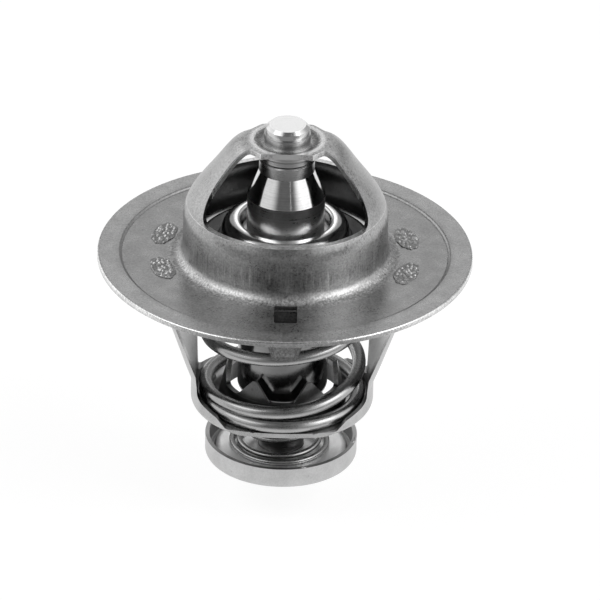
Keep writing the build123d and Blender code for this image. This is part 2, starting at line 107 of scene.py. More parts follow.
def add_node(tree: Tree, kind: str, links: dict | None = None, **settings: object) -> bpy.types.Node:
    """Add one node with its settings, its socket values and its links.

    Args:
        tree: The node tree that the node goes into.
        kind: The node's type name.
        links: Input name or index to either an output socket or a plain value.
        settings: Properties of the node itself.

    Returns:
        The new node.
    """
    node = tree.nodes.new(kind)
    for name, value in settings.items():
        setattr(node, name, value)
    for name, value in (links or {}).items():
        socket = node.inputs[name]
        if isinstance(value, bpy.types.NodeSocket):
            tree.links.new(value, socket)
        else:
            socket.default_value = value
    return node


def between(tree: Tree, value: Socket, low_mm: float, high_mm: float, soft_mm: float = 0.1) -> Socket:
    """Mark where a length lies between two others, with a soft edge.

    Args:
        tree: The node tree.
        value: The length, in metres.
        low_mm: Where the mark starts.
        high_mm: Where the mark ends.
        soft_mm: How wide each edge is.

    Returns:
        A socket that is 1 inside and 0 outside.
    """
    edges = []
    for middle, soft in ((low_mm, soft_mm), (high_mm, -soft_mm)):
        links = {"Value": value, 1: (middle - soft) * MM, 2: (middle + soft) * MM}
        edges.append(add_node(tree, "ShaderNodeMapRange", links).outputs[0])
    return overlap(tree, *edges)


def overlap(tree: Tree, *marks: Socket) -> Socket:
    """Return where all the marks hold at once."""
    result = marks[0]
    for mark in marks[1:]:
        result = add_node(tree, "ShaderNodeMath", {0: result, 1: mark}, operation="MULTIPLY").outputs[0]
    return result


@dataclass(frozen=True)
class Look:
    """How a marked place differs: a factor on its tone, and its roughness where that changes."""

    tone: float
    roughness: float | None = None


@dataclass(frozen=True)
class Patches:
    """Where a noise passes from one value to another, and the look there."""

    start: float
    full: float
    look: Look


@dataclass(frozen=True)
class Zone:
    """A stretch of a piece between two heights, two radii or both, and the look there."""

    height_mm: tuple[float, float] | None
    look: Look = Look(1.0)
    radius_mm: tuple[float, float] | None = None
    height_soft_mm: float = 0.1
    radius_soft_mm: float = 0.1

    def mark(self, surface: Surface) -> Socket:
        """Mark the zone on a surface.

        Args:
            surface: The coordinates.

        Returns:
            A socket that is 1 inside the zone and 0 outside.
        """
        spans = (
            (surface.height, self.height_mm, self.height_soft_mm),
            (surface.radius, self.radius_mm, self.radius_soft_mm),
        )
        marks = [between(surface.tree, value, *span, soft) for value, span, soft in spans if span]
        return overlap(surface.tree, *marks)


class Surface:
    """Where a point of the part lies about the piston's axis, as sockets of one node tree."""

    def __init__(self, tree: Tree) -> None:
        """Lay out the coordinates.

        Args:
            tree: The material's node tree.
        """
        self.tree = tree
        coordinates = add_node(tree, "ShaderNodeTexCoord")
        self.point: Socket = coordinates.outputs["Object"]
        self.along_wire: Socket = coordinates.outputs["UV"]
        split = add_node(tree, "ShaderNodeSeparateXYZ", {0: self.point})
        self.across, self.back, self.height = split.outputs
        flat = add_node(tree, "ShaderNodeCombineXYZ", {0: self.across, 1: self.back}).outputs[0]
        length = add_node(tree, "ShaderNodeVectorMath", {0: flat}, operation="LENGTH")
        self.radius: Socket = length.outputs["Value"]
        unit = add_node(tree, "ShaderNodeVectorMath", {0: flat}, operation="NORMALIZE")
        self.outward: Socket = unit.outputs[0]
        rings = add_node(tree, "ShaderNodeCombineXYZ", {0: self.radius, 2: self.height})
        self.rings: Socket = rings.outputs[0]

    def streaks(self, radius_mm: float, stretch: float) -> Socket:
        """Return a point that hardly changes up the wall, so that noise on it runs in upright streaks.

        Args:
            radius_mm: The wall's radius, which keeps the streaks' width real.
            stretch: The share of the height that is kept.

        Returns:
            The point, in metres.
        """
        low = add_node(self.tree, "ShaderNodeMath", {0: self.height, 1: stretch}, operation="MULTIPLY")
        up = add_node(self.tree, "ShaderNodeCombineXYZ", {2: low.outputs[0]})
        links = {0: self.outward, 1: (radius_mm * MM,) * 3, 2: up.outputs[0]}
        return add_node(self.tree, "ShaderNodeVectorMath", links, operation="MULTIPLY_ADD").outputs[0]

    def looking(
        self, way: Socket | tuple[float, float, float], cosines: tuple[float, float], both: bool = False
    ) -> Socket:
        """Mark the faces that look a given way.

        Args:
            way: The direction.
            cosines: Where the mark starts and where it is full.
            both: Whether the faces that look the opposite way count too.

        Returns:
            A socket that is 1 on those faces.
        """
        facing = add_node(self.tree, "ShaderNodeNewGeometry").outputs["True Normal"]
        dot = add_node(self.tree, "ShaderNodeVectorMath", {0: facing, 1: way}, operation="DOT_PRODUCT")
        cosine = dot.outputs["Value"]
        if both:
            cosine = add_node(self.tree, "ShaderNodeMath", {0: cosine}, operation="ABSOLUTE").outputs[0]
        links = {"Value": cosine, 1: cosines[0], 2: cosines[1]}
        return add_node(self.tree, "ShaderNodeMapRange", links).outputs[0]

    def inwards(self) -> Socket:
        """Mark the faces that look in at the axis."""
        return self.looking(self.outward, INWARDS)

    def sheared(self) -> Socket:
        """Mark the cut edges of a drawn sheet, whose faces look round the axis."""
        links = {0: UP, 1: self.outward}
        around = add_node(self.tree, "ShaderNodeVectorMath", links, operation="CROSS_PRODUCT")
        return self.looking(around.outputs[0], SHEARED, both=True)

    def grain(self, at: Socket, size_mm: float, detail: float = 3.0) -> Socket:
        """Return noise whose features are this many millimetres wide."""
        links = {"Vector": at, "Scale": PER_METRE / size_mm, "Detail": detail, "Roughness": NOISE_ROUGHNESS}
        return add_node(self.tree, "ShaderNodeTexNoise", links).outputs[0]


class Layers:
    """The tone, roughness and relief of a finish, built up from its plain values."""

    def __init__(self, tree: Tree, roughness: float) -> None:
        """Start from a plain surface.

        Args:
            tree: The material's node tree.
            roughness: The plain surface's roughness.
        """
        self.tree = tree
        self.tone: Socket | float = 1.0
        self.roughness: Socket | float = roughness
        self.relief: Socket | float = 0.0

    def swing(self, source: Socket, middle: float, most: float) -> Socket:
        """Turn noise into a value that swings about its middle by this much at the most."""
        low, high = NOISE_RANGE
        links = {"Value": source, 1: low, 2: high, 3: middle - most, 4: middle + most}
        return add_node(self.tree, "ShaderNodeMapRange", links).outputs[0]

    def tint(self, factor: Socket) -> None:
        """Multiply the tone."""
        links = {0: self.tone, 1: factor}
        self.tone = add_node(self.tree, "ShaderNodeMath", links, operation="MULTIPLY").outputs[0]

    def vary(self, source: Socket, tone: float, roughness: float) -> None:
        """Let noise lighten and darken the surface, and polish and dull it.

        Args:
            source: The noise.
            tone: The most that the tone changes, as a share.
            roughness: The most that the roughness changes.
        """
        self.tint(self.swing(source, 1.0, tone))
        links = {0: self.roughness, 1: self.swing(source, 0.0, roughness)}
        self.roughness = add_node(self.tree, "ShaderNodeMath", links, operation="ADD").outputs[0]

    def shade(self, mark: Socket, look: Look) -> None:
        """Give a marked place its own look.

        Args:
            mark: 1 inside the place.
            look: Its look.
        """
        links = {0: mark, 2: 1.0, 3: look.tone}
        self.tint(add_node(self.tree, "ShaderNodeMix", links, data_type="FLOAT").outputs[0])
        if look.roughness is not None:
            links = {0: mark, 2: self.roughness, 3: look.roughness}
            self.roughness = add_node(self.tree, "ShaderNodeMix", links, data_type="FLOAT").outputs[0]

    def patch(self, source: Socket, patches: Patches, *within: Socket) -> None:
        """Shade the patches that a noise makes.

        Args:
            source: The noise.
            patches: Where it makes them, and their look.
            within: Marks that they stay inside.
        """
        links = {"Value": source, 1: patches.start, 2: patches.full}
        mark = add_node(self.tree, "ShaderNodeMapRange", links).outputs[0]
        self.shade(overlap(self.tree, mark, *within), patches.look)

    def raise_by(self, source: Socket, depth_mm: float, mark: Socket | float = 1.0) -> None:
        """Add relief of a real depth.

        Args:
            source: The noise that gives the relief its shape.
            depth_mm: Its depth.
            mark: Where it shows.
        """
        depth = add_node(self.tree, "ShaderNodeMath", {0: source, 1: depth_mm * MM}, operation="MULTIPLY")
        part = add_node(self.tree, "ShaderNodeMath", {0: depth.outputs[0], 1: mark}, operation="MULTIPLY")
        links = {0: self.relief, 1: part.outputs[0]}
        self.relief = add_node(self.tree, "ShaderNodeMath", links, operation="ADD").outputs[0]


@dataclass(frozen=True)
class Finish:
    """One finish: what it is made of, and how its surface was worked."""

    name: str
    colour: str
    roughness: float
    metallic: float = 1.0
    grain_mm: float = 0.4
    grain: float = 0.1
    grain_rough: float = 0.05
    grain_depth_mm: float = 0.01
    zones: tuple[Zone, ...] = ()

    def material(self) -> bpy.types.Material:
        """Build the material.

        Returns:
            The new material, with every pattern scaled in real millimetres.
        """
        made = bpy.data.materials.new(self.name)
        made.use_nodes = True
        tree = made.node_tree
        shader = tree.nodes["Principled BSDF"]
        shader.inputs["Metallic"].default_value = self.metallic
        layers = Layers(tree, self.roughness)
        self.work(Surface(tree), layers)
        links = {0: linear(self.colour)[:3], "Scale": layers.tone}
        colour = add_node(tree, "ShaderNodeVectorMath", links, operation="SCALE")
        tree.links.new(colour.outputs[0], shader.inputs["Base Color"])
        clean = add_node(tree, "ShaderNodeClamp", {"Value": layers.roughness, "Min": SMOOTHEST})
        tree.links.new(clean.outputs[0], shader.inputs["Roughness"])
        bump = add_node(tree, "ShaderNodeBump", {"Height": layers.relief, "Distance": 1.0, "Strength": 1.0})
        tree.links.new(bump.outputs[0], shader.inputs["Normal"])
        return made

    def work(self, surface: Surface, layers: Layers) -> None:
        """Give the surface its fine grain, which is all that a moulded or cast one has.

        Args:
            surface: The coordinates.
            layers: What the marks are added to.
        """
        fine = surface.grain(surface.point, self.grain_mm)
        layers.vary(fine, self.grain, self.grain_rough)
        layers.raise_by(fine, self.grain_depth_mm)


@dataclass(frozen=True)
class RolledSheet(Finish):
    """Rolled stainless sheet after pressing: cloudy, finely grained, flecked, with a painted highlight on
    its cut edges.
    """

    grain_mm: float = 0.24
    grain_rough: float = 0.04
    grain_depth_mm: float = 0.006
    cloud_mm: float = 4.0
    cloud_detail: float = 7.0
    cloud: float = 0.14
    cloud_rough: float = 0.05
    cloud_depth_mm: float = 0.012
    fleck_mm: float = 1.3
    fleck_detail: float = 4.0
    dark: Patches = Patches(0.66, 0.72, Look(0.74))
    bright: Patches = Patches(0.31, 0.27, Look(1.3, 0.3))
    # Painted highlight on the sheared edges
    cut_edge_highlight: Look = Look(1.7, 0.3)

    def work(self, surface: Surface, layers: Layers) -> None:
        """Lay clouds, grain and flecks over the sheet, then a painted highlight on its cut edges and the
        zones' looks.

        Args:
            surface: The coordinates.
            layers: What the marks are added to.
        """
        cloud = surface.grain(surface.point, self.cloud_mm, self.cloud_detail)
        layers.vary(cloud, self.cloud, self.cloud_rough)
        layers.raise_by(cloud, self.cloud_depth_mm)
        super().work(surface, layers)
        fleck = surface.grain(surface.point, self.fleck_mm, self.fleck_detail)
        layers.patch(fleck, self.dark)
        layers.patch(fleck, self.bright)
        # Painted highlight along the cut edges
        layers.shade(self.cut(surface), self.cut_edge_highlight)
        for zone in self.zones:
            layers.shade(zone.mark(surface), zone.look)

    def cut(self, surface: Surface) -> Socket:
        """Mark the sheared edges, which get a painted highlight."""
        return surface.sheared()


@dataclass(frozen=True)
class BridgeSheet(RolledSheet):
    """The deep-drawn upper sheet, with draw streaks on its wall, a coarse, stretched foot with painted
    glints, and painted shade and light on its inside, slot and scoop.
    """

    zones: tuple[Zone, ...] = (
        # Painted highlight on the windows' sill, painted light on the collar, its dish and the flat rim, and
        # a painted highlight on the rim's rounded edge
        Zone((8.82, 8.88), Look(1.8, 0.3), (13.0, 14.6), height_soft_mm=0.03),
        Zone((17.6, PAST_TOP_MM), Look(2.1), (PAST_AXIS_MM, 7.2), 0.8, 0.8),
        Zone((17.6, PAST_TOP_MM), Look(1.7, 0.42), (PAST_AXIS_MM, 5.0), radius_soft_mm=0.15),
        Zone((0.4, 1.0), Look(1.22), (24.2, PAST_RIM_MM), radius_soft_mm=0.5),
        Zone(None, Look(1.6, 0.26), (26.72, PAST_RIM_MM), radius_soft_mm=0.05),
        # Painted shade on the scoop below the flange, and painted light towards its tip
        Zone((-2.6, -0.6), Look(0.6), height_soft_mm=0.6),
        Zone((PAST_SCOOP_MM, -2.6), Look(1.3), height_soft_mm=0.4),
    )
    # Painted shade on the dome's inward faces
    inside: Zone = Zone((0.9, PAST_TOP_MM), Look(0.13, 0.24), (PAST_AXIS_MM, 13.95), radius_soft_mm=0.05)
    wall_mm: float = 14.7
    wall: Zone = Zone((2.4, 5.2), Look(0.72), (14.2, 15.0), height_soft_mm=1.2)
    streak_mm: float = 0.3
    streak_stretch: float = 0.06
    streak_depth_mm: float = 0.012
    scored: Patches = Patches(0.56, 0.68, Look(1.6))
    smeared: Patches = Patches(0.44, 0.36, Look(0.72))
    coarse_mm: float = 0.34
    foot: Zone = Zone((0.45, 3.0), radius_mm=(15.0, 16.9), radius_soft_mm=0.3)
    # Pits on the foot, with painted glints on them
    foot_pits_and_glints: Patches = Patches(0.4, 0.6, Look(1.7, 0.4))
    foot_depth_mm: float = 0.05
    # Painted shade on the scoop's outward faces
    scoop: Zone = Zone((PAST_SCOOP_MM, -0.6), Look(0.45), height_soft_mm=0.2)
    scoop_tip: Zone = Zone((PAST_SCOOP_MM, -2.6), height_soft_mm=0.4)
    # Pits on the scoop's tip, with painted light on them
    scoop_pits_and_light: Patches = Patches(0.4, 0.6, Look(1.4))
    scoop_depth_mm: float = 0.06
    slot_across_mm: tuple[float, float] = (-1.45, 2.05)
    slot_back_mm: tuple[float, float] = (-20.85, -14.9)
    slot_height_mm: tuple[float, float] = (-3.0, 0.42)
    slot_soft_mm: float = 0.05
    # Painted shade in the slot and in the scoop below it
    slot_shade: Look = Look(0.22)
    # The dome's outer face, as (height, radius)
    profile_mm: tuple[tuple[float, float], ...] = (
        (6.8, 14.7),
        (9.8, 13.8),
        (14.6, 10.45),
        (17.8, 8.0),
        (18.85, 6.4),
        (19.1, 5.1),
    )
    window_mm: tuple[float, float] = (9.0, 19.3)
    lip_mm: tuple[float, float] = (-1.0, 0.26)
    lip_soft_mm: float = 0.06

    def cut(self, surface: Surface) -> Socket:
        """Mark the lip that the punch left on the windows' upright edges, by the outer face, for a painted
        highlight.

        Args:
            surface: The coordinates.

        Returns:
            A socket that is 1 on the lip.
        """
        tree = surface.tree
        low, widest = self.profile_mm[0]
        high, narrowest = self.profile_mm[-1]
        links = {"Value": surface.height, 1: low * MM, 2: high * MM}
        share = add_node(tree, "ShaderNodeMapRange", links).outputs[0]
        curve = add_node(tree, "ShaderNodeFloatCurve", {"Value": share})
        points = curve.mapping.curves[0].points
        points[0].location = (0.0, 1.0)
        points[1].location = (1.0, narrowest / widest)
        for height, radius in self.profile_mm[1:-1]:
            points.new((height - low) / (high - low), radius / widest)
        for point in points:
            point.handle_type = "VECTOR"
        curve.mapping.update()
        outer = add_node(tree, "ShaderNodeMath", {0: curve.outputs[0], 1: widest * MM}, operation="MULTIPLY")
        links = {0: outer.outputs[0], 1: surface.radius}
        depth = add_node(tree, "ShaderNodeMath", links, operation="SUBTRACT")
        return overlap(
            tree,
            surface.looking(UP, UPRIGHT, both=True),
            between(tree, depth.outputs[0], *self.lip_mm, self.lip_soft_mm),
            between(tree, surface.height, *self.window_mm),
        )

    def work(self, surface: Surface, layers: Layers) -> None:
        """Add draw streaks and a darker band on the wall, the coarse foot with painted glints, painted shade
        in the slot, on the dome's inside and on the scoop, and painted light towards the scoop's tip.

        Args:
            surface: The coordinates.
            layers: What the marks are added to.
        """
        super().work(surface, layers)
        tree = surface.tree
        wall = self.wall.mark(surface)
        streak = surface.grain(surface.streaks(self.wall_mm, self.streak_stretch), self.streak_mm, LINES)
        layers.shade(wall, self.wall.look)
        layers.patch(streak, self.scored, wall)
        layers.patch(streak, self.smeared, wall)
        layers.raise_by(streak, self.streak_depth_mm, wall)
        coarse = surface.grain(surface.point, self.coarse_mm, LINES)
        foot = self.foot.mark(surface)
        # Pits on the foot, with painted glints on them
        layers.patch(coarse, self.foot_pits_and_glints, foot)
        layers.raise_by(coarse, self.foot_depth_mm, foot)
        # Painted shade in the slot and in the scoop below it
        in_slot = overlap(
            tree,
            between(tree, surface.across, *self.slot_across_mm, self.slot_soft_mm),
            between(tree, surface.back, *self.slot_back_mm, self.slot_soft_mm),
            between(tree, surface.height, *self.slot_height_mm, self.slot_soft_mm),
        )
        layers.shade(in_slot, self.slot_shade)
        scoop = self.scoop.mark(surface)
        layers.raise_by(coarse, self.scoop_depth_mm, scoop)
        # Pits on the scoop's tip, with painted light on them
        layers.patch(coarse, self.scoop_pits_and_light, self.scoop_tip.mark(surface))
        # Painted shade on the dome's inward faces
        layers.shade(overlap(tree, surface.inwards(), self.inside.mark(surface)), self.inside.look)
        # Painted shade on the scoop's outward faces
        layers.shade(overlap(tree, surface.looking(surface.outward, OUTWARDS), scoop), self.scoop.look)


@dataclass(frozen=True)
class FrameSheet(RolledSheet):
    """The lower frame's sheet, with painted shade on its petals and rough arms."""

    petal_mm: float = 9.3
    # Painted shade on the petals' faces, and a painted highlight on their edges
    petal_shade: Look = Look(0.35, 0.3)
    petal_edge_highlight: Look = Look(1.7, 0.35)
    valley_mm: tuple[float, float] = (-19.76, -19.64)
    valley_soft_mm: float = 0.04
    arm_edge: Zone = Zone((-19.0, -1.5), Look(0.72, 0.42), height_soft_mm=1.0)
    speck_mm: float = 0.5
    specks: Patches = Patches(0.45, 0.6, Look(0.6))
    # Painted shade on the arms' insides
    arm_inside_shade: Zone = Zone((-23.0, -14.5), Look(0.52, 0.42), height_soft_mm=2.5)

    def work(self, surface: Surface, layers: Layers) -> None:
        """Paint the shade that the flange casts on the arms' insides and on the petals, paint highlights on
        the petals' edges, and darken and roughen the arms' torn edges.

        Args:
            surface: The coordinates.
            layers: What the marks are added to.
        """
        super().work(surface, layers)
        tree = surface.tree
        cut = surface.sheared()
        star = between(tree, surface.radius, PAST_AXIS_MM, self.petal_mm)
        faces = add_node(tree, "ShaderNodeMath", {0: 1.0, 1: cut}, operation="SUBTRACT").outputs[0]
        # Painted shade on the petals' faces
        layers.shade(overlap(tree, star, faces), self.petal_shade)
        valley = between(tree, surface.height, *self.valley_mm, self.valley_soft_mm)
        edge = add_node(tree, "ShaderNodeMath", {0: cut, 1: valley}, operation="MAXIMUM").outputs[0]
        # Painted highlight on the petals' cut edges and valleys
        layers.shade(overlap(tree, edge, star), self.petal_edge_highlight)
        torn = overlap(tree, cut, self.arm_edge.mark(surface))
        layers.shade(torn, self.arm_edge.look)
        layers.patch(surface.grain(surface.point, self.speck_mm), self.specks, torn)
        # Painted shade on the arms' insides
        layers.shade(overlap(tree, surface.inwards(), self.arm_inside_shade.mark(surface)), self.arm_inside_shade.look)


@dataclass(frozen=True)
class Turned(Finish):
    """Turned metal: fine rings that run round the axis, and zones that were worked differently."""

    ring_mm: float = 0.16
    ring_tone: float = 0.06
    ring_depth_mm: float = 0.002
    cloud_mm: float = 1.5
    cloud_detail: float = 5.0
    cloud: float = 0.05
    rough: float = 0.02

    def work(self, surface: Surface, layers: Layers) -> None:
        """Finish the zones and cut the rings."""
        for zone in self.zones:
            layers.shade(zone.mark(surface), zone.look)
        rings = surface.grain(surface.rings, self.ring_mm, LINES)
        layers.vary(rings, self.ring_tone, self.rough)
        cloud = surface.grain(surface.point, self.cloud_mm, self.cloud_detail)
        layers.vary(cloud, self.cloud, self.rough)
        layers.raise_by(rings, self.ring_depth_mm)


@dataclass(frozen=True)
class DrawnWire(Finish):
    """Drawn spring wire: fine lines along it, with duller patches."""

    line_mm: float = 0.14
    line: float = 0.05
    line_rough: float = 0.02
    line_stretch: float = 0.03
    line_depth_mm: float = 0.0015
    cloud_mm: float = 2.0
    cloud_detail: float = 6.0
    cloud: float = 0.06
    cloud_rough: float = 0.04

    def work(self, surface: Surface, layers: Layers) -> None:
        """Draw the lines along the wire."""
        links = {"Vector": surface.along_wire, "Scale": (self.line_stretch, 1.0, 1.0)}
        stretched = add_node(surface.tree, "ShaderNodeMapping", links).outputs[0]
        lines = surface.grain(stretched, self.line_mm, LINES)
        layers.vary(lines, self.line, self.line_rough)
        cloud = surface.grain(surface.point, self.cloud_mm, self.cloud_detail)
        layers.vary(cloud, self.cloud, self.cloud_rough)
        layers.raise_by(lines, self.line_depth_mm)


@dataclass(frozen=True)
class CrushedWeld(Finish):
    """Metal crushed by a knurled welding tip: bright tops, and painted shade in the hollows."""

    grain_mm: float = 0.12
    grain: float = 0.25
    grain_rough: float = 0.08
    grain_depth_mm: float = 0.02
    # Painted shade in the low places of the pad
    hollow_shade: Look = Look(0.3, 0.5)
    hollow_mm: float = 0.5
    top_mm: float = 0.85

    def work(self, surface: Surface, layers: Layers) -> None:
        """Paint shade into the hollows, and roughen them and the tops."""
        links = {"Value": surface.height, 1: self.top_mm * MM, 2: self.hollow_mm * MM}
        low = add_node(surface.tree, "ShaderNodeMapRange", links).outputs[0]
        # Painted shade in the low places of the pad
        layers.shade(low, self.hollow_shade)
        super().work(surface, layers)


@dataclass
class Finishes:
    """Every finish of the object, made once and shared by the pieces."""

    # Rolled stainless sheet: satin grey and cloudy, with a painted highlight on the cut edges
    bridge: Finish = BridgeSheet(
        "drawn_stainless_sheet",
        "#A8A8A8",
        0.34,
        cloud=0.08,
        cloud_mm=2.4,
        grain_mm=0.3,
        grain=0.19,
        cut_edge_highlight=Look(2.4, 0.3),
    )
    frame: Finish = FrameSheet("pressed_stainless_sheet", "#B8B8B8", 0.34, cloud=0.12, grain=0.08)
    # Brushed stainless cup: paler, with painted light on its floor
    disc: Finish = RolledSheet(
        "brushed_stainless_cup",
        "#C0C0C0",
        0.38,
        cloud=0.08,
        cloud_mm=2.5,
        grain=0.07,
        # Painted light on the floor inside the rim
        zones=(Zone((-30.9, -29.6), Look(1.9), (PAST_AXIS_MM, 10.2)),),
    )
    # Spun and buffed stainless: a soft mirror
    valve: Finish = Turned("buffed_stainless", "#E9E9E9", 0.17, ring_mm=0.3)
    # Turned steel: the lathe's rings, and a darker neck round the piston
    bush: Finish = Turned(
        "turned_steel",
        "#D2D2D2",
        0.32,
        ring_mm=0.14,
        ring_tone=0.14,
        zones=(Zone((18.2, 21.0), Look(0.66, 0.3), height_soft_mm=0.04),),
    )
    # Bright steel: a white head with sharp glints on its chamfer
    piston: Finish = Turned("bright_turned_steel", "#D2D2D2", 0.18, ring_tone=0.07, ring_depth_mm=0.0015)
    # Lapped steel: a grey drum, a mirror cone and a dark cylinder, from the top
    guide: Finish = Turned(
        "lapped_steel",
        "#D8D8D8",
        0.1,
        ring_depth_mm=0.0008,
        zones=(
            Zone((14.35, 16.3), Look(0.85, 0.3), height_soft_mm=0.04),
            Zone((10.35, 14.35), Look(1.0, 0.1), height_soft_mm=0.04),
            Zone((-1.0, 10.35), Look(1.35, 0.3), height_soft_mm=0.04),
        ),
    )
    # Blackened brass and steel: dark and glossy, still metal underneath
    cup: Finish = Turned("blackened_brass", "#828282", 0.16, ring_mm=0.4, ring_depth_mm=0.001)
    stem: Finish = Turned("blackened_steel", "#585858", 0.3)
    # Drawn and rolled spring steel: mid-grey, with a long soft glint on each turn
    wire: Finish = DrawnWire("drawn_spring_wire", "#A9A9A9", 0.27)
    clip: Finish = RolledSheet("spring_strip", "#A9A9A9", 0.3)
    # Crushed metal: a sparkle of bright tops over painted shade in the hollows
    weld: Finish = CrushedWeld("crushed_weld", "#F4F4F4", 0.3)
    # Matt black rubber, brown wax and a pale hard washer, all hidden in the cup
    rubber: Finish = Finish("moulded_rubber", "#1B1B1B", 0.7, metallic=0.0)
    wax: Finish = Finish("filled_wax", "#8A6A4A", 0.5, metallic=0.0)
    hard: Finish = Finish("hard_washer", "#D8D4CA", 0.45, metallic=0.0)
    made: dict[str, bpy.types.Material] = field(default_factory=dict)

    def put(self, piece: bpy.types.Object, finish: Finish) -> None:
        """Give a piece one finish.

        Args:
            piece: The object to dress.
            finish: The finish that it gets.
        """
        if finish.name not in self.made:
            self.made[finish.name] = finish.material()
        piece.data.materials.clear()
        piece.data.materials.append(self.made[finish.name])


def smooth_object(name: str, bm: bmesh.types.BMesh) -> bpy.types.Object:
    """Turn a bmesh into a smooth object at the origin.

    Args:
        name: The piece's name.
        bm: The mesh, which is freed.

    Returns:
        The new object, linked to the scene.
    """
    bmesh.ops.recalc_face_normals(bm, faces=bm.faces)
    mesh = bpy.data.meshes.new(name)
    bm.to_mesh(mesh)
    bm.free()
    for polygon in mesh.polygons:
        polygon.use_smooth = True
    made = bpy.data.objects.new(name, mesh)
    bpy.context.scene.collection.objects.link(made)
    return made


class Side(Enum):
    """The two sides of the part that the frame's arms stand on, by their angle in degrees."""

    RIGHT = 0
    LEFT = 180


@dataclass
class WeldMarks:
    """Oval pads of crushed metal on the flange, two over each foot of the lower frame."""

    node: str = "spot_welds"
    body: str = "bridge"
    ring_mm: float = 18.2
    angle_deg: float = 16.6
    half_wide_mm: float = 1.65
    half_long_mm: float = 3.2
    base_mm: float = 0.48
    rim_mm: float = 0.08
    cell_mm: float = 0.52
    relief_mm: float = 0.34
    steepness: float = 1.5
    rim_share: float = 0.4
    rise_inwards: float = 5.0
    wobble: float = 0.12
    wobble_radius: float = 2.0
    wobble_step: float = 900.0
    grid_mm: float = 0.09
    grid_reach: float = 1.15
    grid_length: float = 2.4
    merge_m: float = 1e-7
    seeds: tuple[float, ...] = (0.01, 0.02, 0.04, 0.05)

    def pad(self, seed: float) -> bmesh.types.BMesh:
        """Crush one pad, flat at first, into an uneven oval of small peaks.

        Args:
            seed: What makes this pad's outline and peaks its own.

        Returns:
            The pad at the origin, with its long side along Y.
        """
        bm = bmesh.new()
        long, wide = self.half_long_mm * MM, self.half_wide_mm * MM
        count = round(self.grid_length * self.half_long_mm / self.grid_mm)
        bmesh.ops.create_grid(bm, x_segments=count, y_segments=count, size=self.grid_reach * long)
        bmesh.ops.scale(bm, verts=bm.verts, vec=Vector((wide / long, 1, 1)))
        outside = [f for f in bm.faces if self.reach(f.calc_center_median(), seed) > 1]
        bmesh.ops.delete(bm, geom=outside, context="FACES")
        for vert in bm.verts:
            inside = 1 - self.reach(vert.co, seed)
            peak = noise.voronoi((vert.co + Vector((seed, 0, 0))) * PER_METRE / self.cell_mm)[0][0]
            edge = min(inside * self.rise_inwards + self.rim_share, 1)
            height = self.rim_mm + self.relief_mm * (1 - min(peak * self.steepness, 1)) * edge
            vert.co.z = (self.base_mm + height) * MM
        rim = [e for e in bm.edges if e.is_boundary]
        skirt = bmesh.ops.extrude_edge_only(bm, edges=rim)["geom"]
        for vert in (g for g in skirt if isinstance(g, bmesh.types.BMVert)):
            vert.co.z = self.base_mm * MM
        bmesh.ops.holes_fill(bm, edges=[e for e in bm.edges if e.is_boundary], sides=0)
        return bm

    def reach(self, at: Vector, seed: float) -> float:
        """Return how far out a point lies in its pad, where 1 is the uneven rim."""
        angle = math.atan2(at.y / self.half_long_mm, at.x / self.half_wide_mm)
        ring = self.wobble_radius * math.cos(angle), self.wobble_radius * math.sin(angle)
        uneven = 1 + self.wobble * noise.noise(Vector((*ring, seed * self.wobble_step)))
        return math.hypot(at.x / self.half_wide_mm, at.y / self.half_long_mm) * PER_METRE * uneven

    def build(self, finishes: Finishes) -> None:
        """Make the four pads and put them in the solid marks' place.

        Args:
            finishes: What they are dressed from.
        """
        places = [(side, number) for side in Side for number in (1, 2)]
        for seed, (side, number) in zip(self.seeds, places):
            bm = self.pad(seed)
            angle = -self.angle_deg if number == 1 else self.angle_deg
            turn = Matrix.Rotation(math.radians(side.value + angle), 4, "Z")
            place = turn @ Matrix.Translation((self.ring_mm * MM, 0, 0))
            bmesh.ops.transform(bm, matrix=place, verts=bm.verts)
            bmesh.ops.remove_doubles(bm, verts=bm.verts, dist=self.merge_m)
            piece = smooth_object(f"weld_pad_{side.name.lower()}_{number}", bm)
            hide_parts(self.node)
            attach(piece, self.body)
            finishes.put(piece, finishes.weld)
        LOG.info("crushed the weld pads over %s", self.node)


@dataclass
class CutBurrs:
    """Small slivers that the shears left on the frame's front edge and on the disc's rim."""

    frame_mm: tuple[tuple[float, float, float], ...] = ((-4.2, -11.3, -22.9), (5.0, -11.2, -22.9))
    disc_mm: tuple[tuple[float, float, float], ...] = (
        (10.55, -2.2, -29.02),
        (10.7, -1.2, -29.03),
        (3.4, -10.2, -29.04),
    )
    half_mm: tuple[float, float, float] = (0.42, 0.13, 0.13)
    torn: float = 0.5
    tears_per_mm: float = 6.0

    def sliver(self, name: str, at: tuple[float, float, float]) -> bpy.types.Object:
        """Tear one sliver that lies along the edge round the axis.

        Args:
            name: The piece's name.
            at: Its middle, in millimetres.

        Returns:
            The sliver.
        """
        bm = bmesh.new()
        bmesh.ops.create_icosphere(bm, subdivisions=3, radius=MM)
        bmesh.ops.scale(bm, verts=bm.verts, vec=self.half_mm)
        for vert in bm.verts:
            vert.co *= 1 + self.torn * noise.noise(vert.co * self.tears_per_mm * PER_METRE + Vector(at))
        turn = Matrix.Rotation(math.atan2(at[1], at[0]) + math.pi / 2, 4, "Z")
        bmesh.ops.transform(bm, matrix=Matrix.Translation(Vector(at) * MM) @ turn, verts=bm.verts)
        return smooth_object(name, bm)

    def build(self, finishes: Finishes) -> None:
        """Put the slivers on the frame and the disc.

        Args:
            finishes: What they are dressed from.
        """
        for body, places, finish in (
            ("bridge", self.frame_mm, finishes.frame),
            ("bypass", self.disc_mm, finishes.disc),
        ):
            for number, at in enumerate(places):
                piece = self.sliver(f"burr_{body}_{number + 1}", at)
                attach(piece, body)
                finishes.put(piece, finish)
            LOG.info("left %d burrs on %s", len(places), body)


